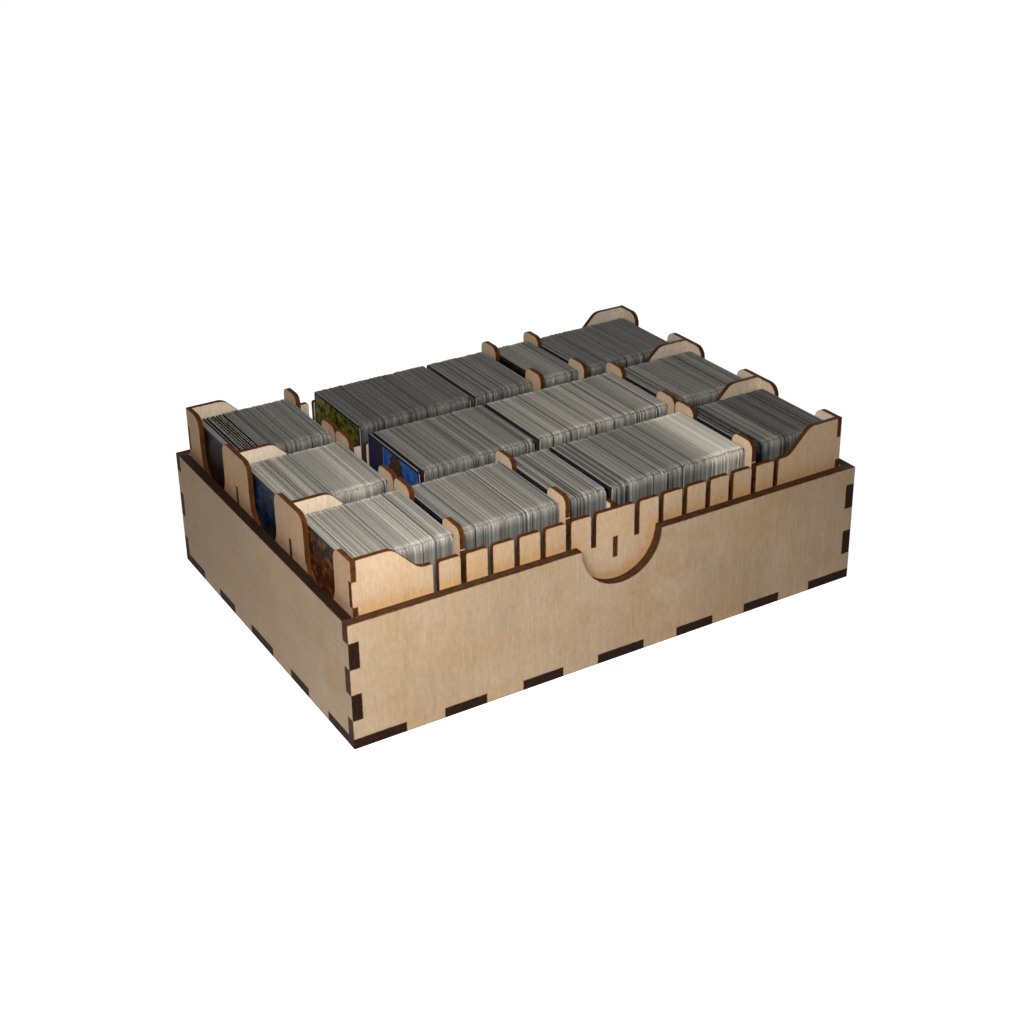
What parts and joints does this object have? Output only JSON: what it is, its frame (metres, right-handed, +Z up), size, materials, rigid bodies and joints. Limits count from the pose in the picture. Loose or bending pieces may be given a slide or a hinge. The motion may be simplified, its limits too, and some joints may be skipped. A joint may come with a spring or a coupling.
{
  "type": "card storage box",
  "caption": "Open laser-cut plywood box for sleeved cards, with a lift-out tray of three long rows, slotted walls and loose dividers that part the stacks.",
  "frame": {"origin": "middle of the outer box's underside, on the surface that it stands on", "axes": "+X along the length to the right end, +Y from the front to the back, +Z up"},
  "size_m": [0.34, 0.2434, 0.1075],
  "materials": {
    "thick_plywood": "bare light birch plywood with laser-burnt dark brown edges",
    "thin_plywood": "bare light birch plywood with laser-burnt reddish brown edges",
    "divider_plywood": "bare light birch plywood with scorched brown edges",
    "sleeved_cards": "matte grey card sleeves seen edge on"
  },
  "bodies": {
    "outer_box": {"box_base": "thick_plywood", "box_front": "thick_plywood", "box_back": "thick_plywood", "box_left_end": "thick_plywood", "box_right_end": "thick_plywood"},
    "tray": {"tray_floor": "thin_plywood", "tray_front_wall": "thin_plywood", "tray_back_wall": "thin_plywood", "tray_middle_wall_1": "thin_plywood", "tray_middle_wall_2": "thin_plywood", "tray_left_end": "thin_plywood", "tray_right_end": "thin_plywood", "tray_partition": "thin_plywood"},
    "divider_front_1": {"divider_front_1": "divider_plywood"},
    "divider_front_2": {"divider_front_2": "divider_plywood"},
    "divider_front_3": {"divider_front_3": "divider_plywood"},
    "divider_middle_1": {"divider_middle_1": "divider_plywood"},
    "divider_middle_2": {"divider_middle_2": "divider_plywood"},
    "divider_back_1": {"divider_back_1": "divider_plywood"},
    "divider_back_2": {"divider_back_2": "divider_plywood"},
    "divider_back_3": {"divider_back_3": "divider_plywood"},
    "cards_front_1": {"cards_front_1": "sleeved_cards"},
    "cards_front_2": {"cards_front_2": "sleeved_cards"},
    "cards_front_3": {"cards_front_3": "sleeved_cards"},
    "cards_front_4": {"cards_front_4": "sleeved_cards"},
    "cards_front_5": {"cards_front_5": "sleeved_cards"},
    "cards_middle_1": {"cards_middle_1": "sleeved_cards"},
    "cards_middle_2": {"cards_middle_2": "sleeved_cards"},
    "cards_middle_3": {"cards_middle_3": "sleeved_cards"},
    "cards_middle_4": {"cards_middle_4": "sleeved_cards"},
    "cards_back_1": {"cards_back_1": "sleeved_cards"},
    "cards_back_2": {"cards_back_2": "sleeved_cards"},
    "cards_back_3": {"cards_back_3": "sleeved_cards"},
    "cards_back_4": {"cards_back_4": "sleeved_cards"},
    "cards_back_5": {"cards_back_5": "sleeved_cards"}
  },
  "joints": [
    {"name": "tray_lift", "type": "slide", "parent": "outer_box", "child": "tray", "axis": [0, 0, 1], "range_m": [0, 0.08]},
    {"name": "divider_front_1_lift", "type": "slide", "parent": "tray", "child": "divider_front_1", "axis": [0, 0, 1], "range_m": [0, 0.105]},
    {"name": "divider_front_2_lift", "type": "slide", "parent": "tray", "child": "divider_front_2", "axis": [0, 0, 1], "range_m": [0, 0.105]},
    {"name": "divider_front_3_lift", "type": "slide", "parent": "tray", "child": "divider_front_3", "axis": [0, 0, 1], "range_m": [0, 0.105]},
    {"name": "divider_middle_1_lift", "type": "slide", "parent": "tray", "child": "divider_middle_1", "axis": [0, 0, 1], "range_m": [0, 0.105]},
    {"name": "divider_middle_2_lift", "type": "slide", "parent": "tray", "child": "divider_middle_2", "axis": [0, 0, 1], "range_m": [0, 0.105]},
    {"name": "divider_back_1_lift", "type": "slide", "parent": "tray", "child": "divider_back_1", "axis": [0, 0, 1], "range_m": [0, 0.105]},
    {"name": "divider_back_2_lift", "type": "slide", "parent": "tray", "child": "divider_back_2", "axis": [0, 0, 1], "range_m": [0, 0.105]},
    {"name": "divider_back_3_lift", "type": "slide", "parent": "tray", "child": "divider_back_3", "axis": [0, 0, 1], "range_m": [0, 0.105]},
    {"name": "cards_front_1_lift", "type": "slide", "parent": "tray", "child": "cards_front_1", "axis": [0, 0, 1], "range_m": [0, 0.105]},
    {"name": "cards_front_2_lift", "type": "slide", "parent": "tray", "child": "cards_front_2", "axis": [0, 0, 1], "range_m": [0, 0.105]},
    {"name": "cards_front_3_lift", "type": "slide", "parent": "tray", "child": "cards_front_3", "axis": [0, 0, 1], "range_m": [0, 0.105]},
    {"name": "cards_front_4_lift", "type": "slide", "parent": "tray", "child": "cards_front_4", "axis": [0, 0, 1], "range_m": [0, 0.105]},
    {"name": "cards_front_5_lift", "type": "slide", "parent": "tray", "child": "cards_front_5", "axis": [0, 0, 1], "range_m": [0, 0.105]},
    {"name": "cards_middle_1_lift", "type": "slide", "parent": "tray", "child": "cards_middle_1", "axis": [0, 0, 1], "range_m": [0, 0.105]},
    {"name": "cards_middle_2_lift", "type": "slide", "parent": "tray", "child": "cards_middle_2", "axis": [0, 0, 1], "range_m": [0, 0.105]},
    {"name": "cards_middle_3_lift", "type": "slide", "parent": "tray", "child": "cards_middle_3", "axis": [0, 0, 1], "range_m": [0, 0.105]},
    {"name": "cards_middle_4_lift", "type": "slide", "parent": "tray", "child": "cards_middle_4", "axis": [0, 0, 1], "range_m": [0, 0.105]},
    {"name": "cards_back_1_lift", "type": "slide", "parent": "tray", "child": "cards_back_1", "axis": [0, 0, 1], "range_m": [0, 0.105]},
    {"name": "cards_back_2_lift", "type": "slide", "parent": "tray", "child": "cards_back_2", "axis": [0, 0, 1], "range_m": [0, 0.105]},
    {"name": "cards_back_3_lift", "type": "slide", "parent": "tray", "child": "cards_back_3", "axis": [0, 0, 1], "range_m": [0, 0.105]},
    {"name": "cards_back_4_lift", "type": "slide", "parent": "tray", "child": "cards_back_4", "axis": [0, 0, 1], "range_m": [0, 0.105]},
    {"name": "cards_back_5_lift", "type": "slide", "parent": "tray", "child": "cards_back_5", "axis": [0, 0, 1], "range_m": [0, 0.105]}
  ]
}
